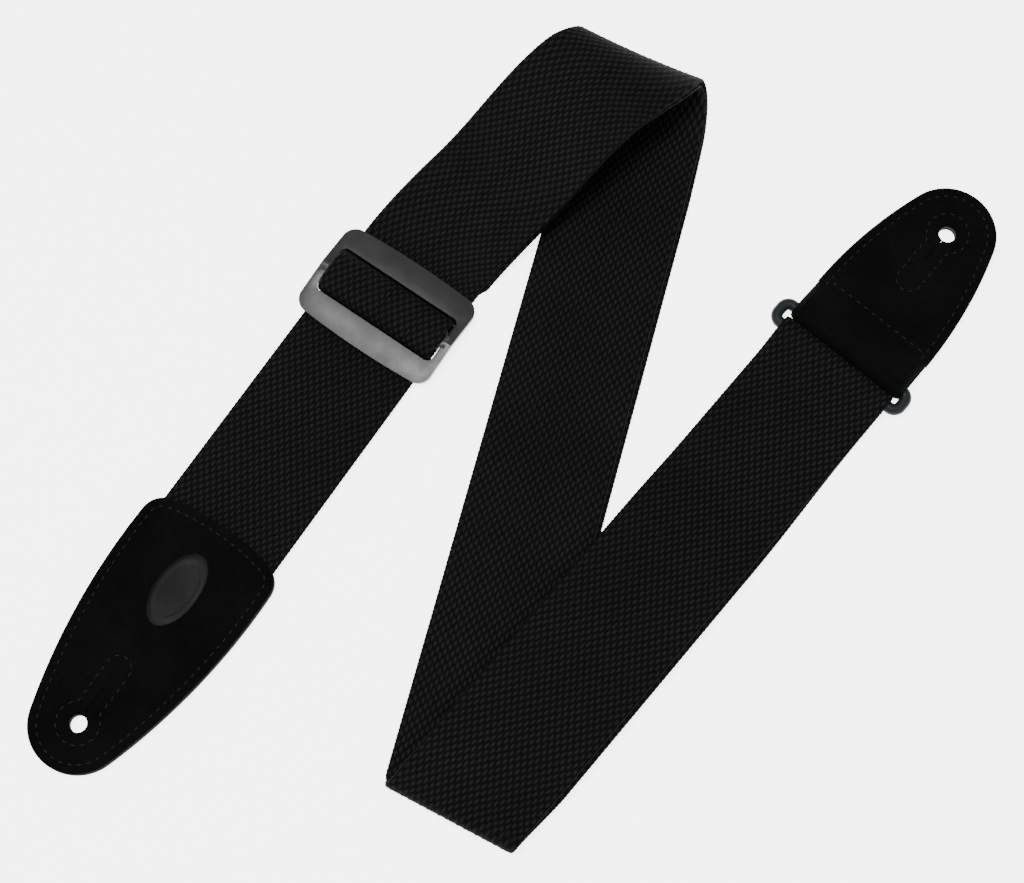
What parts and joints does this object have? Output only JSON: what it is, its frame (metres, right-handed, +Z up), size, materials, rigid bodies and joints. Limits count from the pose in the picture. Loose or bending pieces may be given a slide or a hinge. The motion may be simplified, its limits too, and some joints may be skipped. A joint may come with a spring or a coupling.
{
  "type": "guitar strap",
  "caption": "Adjustable webbing guitar strap with leather button ends, an adjusting slide and a ring, laid folded flat in a Z.",
  "frame": {"origin": "centre of the strap-button hole of leather end A, on its underside, which lies on the surface", "axes": "+Z up from the surface the strap lies on, +X along the folded strap's longer side, +Y away from the bottom crease"},
  "size_m": [0.3564, 0.309, 0.03],
  "materials": {
    "webbing": "heavy cotton weave, dull black",
    "leather_face": "black suede nap",
    "leather_back": "smooth black lining leather with grain",
    "core_board": "plain fibre board",
    "thread": "black waxed thread",
    "slide_plastic": "moulded acetal, satin",
    "ring_plastic": "moulded acetal, satin"
  },
  "bodies": {
    "middle_leg": {"front_webbing_middle": "webbing", "return_webbing_middle": "webbing", "front_webbing_top_loop": "webbing", "return_webbing_top_loop": "webbing", "front_webbing_crease": "webbing", "return_webbing_crease": "webbing"},
    "upper_leg": {"end_a_front_leather": "leather_face", "end_a_core": "core_board", "end_a_back_leather": "leather_back", "end_a_border_stitches": "thread", "end_a_keyhole_stitches": "thread", "front_webbing_upper": "webbing", "return_webbing_upper": "webbing"},
    "slide": {"slide_frame": "slide_plastic", "slide_webbing_hump": "webbing", "slide_webbing_wrap": "webbing"},
    "lower_leg": {"front_webbing_lower": "webbing", "return_webbing_lower": "webbing", "ring_webbing_turn": "webbing"},
    "ring": {"ring": "ring_plastic"},
    "end_b": {"end_b_front_leather": "leather_face", "end_b_core": "core_board", "end_b_back_leather": "leather_back", "end_b_leather_turn": "leather_face", "end_b_border_stitches": "thread", "end_b_keyhole_stitches": "thread", "end_b_cross_stitches": "thread"}
  },
  "joints": [
    {"name": "top_fold", "type": "hinge", "parent": "middle_leg", "child": "upper_leg", "pos_m": [0.20341, 0.22956, 0.015], "axis": [-0.8988, 0.4384, 0], "range_deg": [0, 100], "deforming": ["front_webbing_top_loop", "return_webbing_top_loop"]},
    {"name": "bottom_fold", "type": "hinge", "parent": "middle_leg", "child": "lower_leg", "pos_m": [0.13253, -0.02952, 0.0038], "axis": [0.8846, -0.4664, 0], "range_deg": [0, 120], "deforming": ["front_webbing_crease", "return_webbing_crease"]},
    {"name": "slide_travel", "type": "slide", "parent": "upper_leg", "child": "slide", "axis": [0.5678, 0.8231, 0], "range_m": [-0.08, 0], "deforming": ["return_webbing_upper"]},
    {"name": "ring_swing", "type": "hinge", "parent": "lower_leg", "child": "ring", "pos_m": [0.27477, 0.13388, 0.004], "axis": [0.7627, -0.6468, 0], "range_deg": [0, 75]},
    {"name": "end_b_swing", "type": "hinge", "parent": "ring", "child": "end_b", "pos_m": [0.28008, 0.14014, 0.004], "axis": [0.7627, -0.6468, 0], "range_deg": [0, 75]}
  ]
}
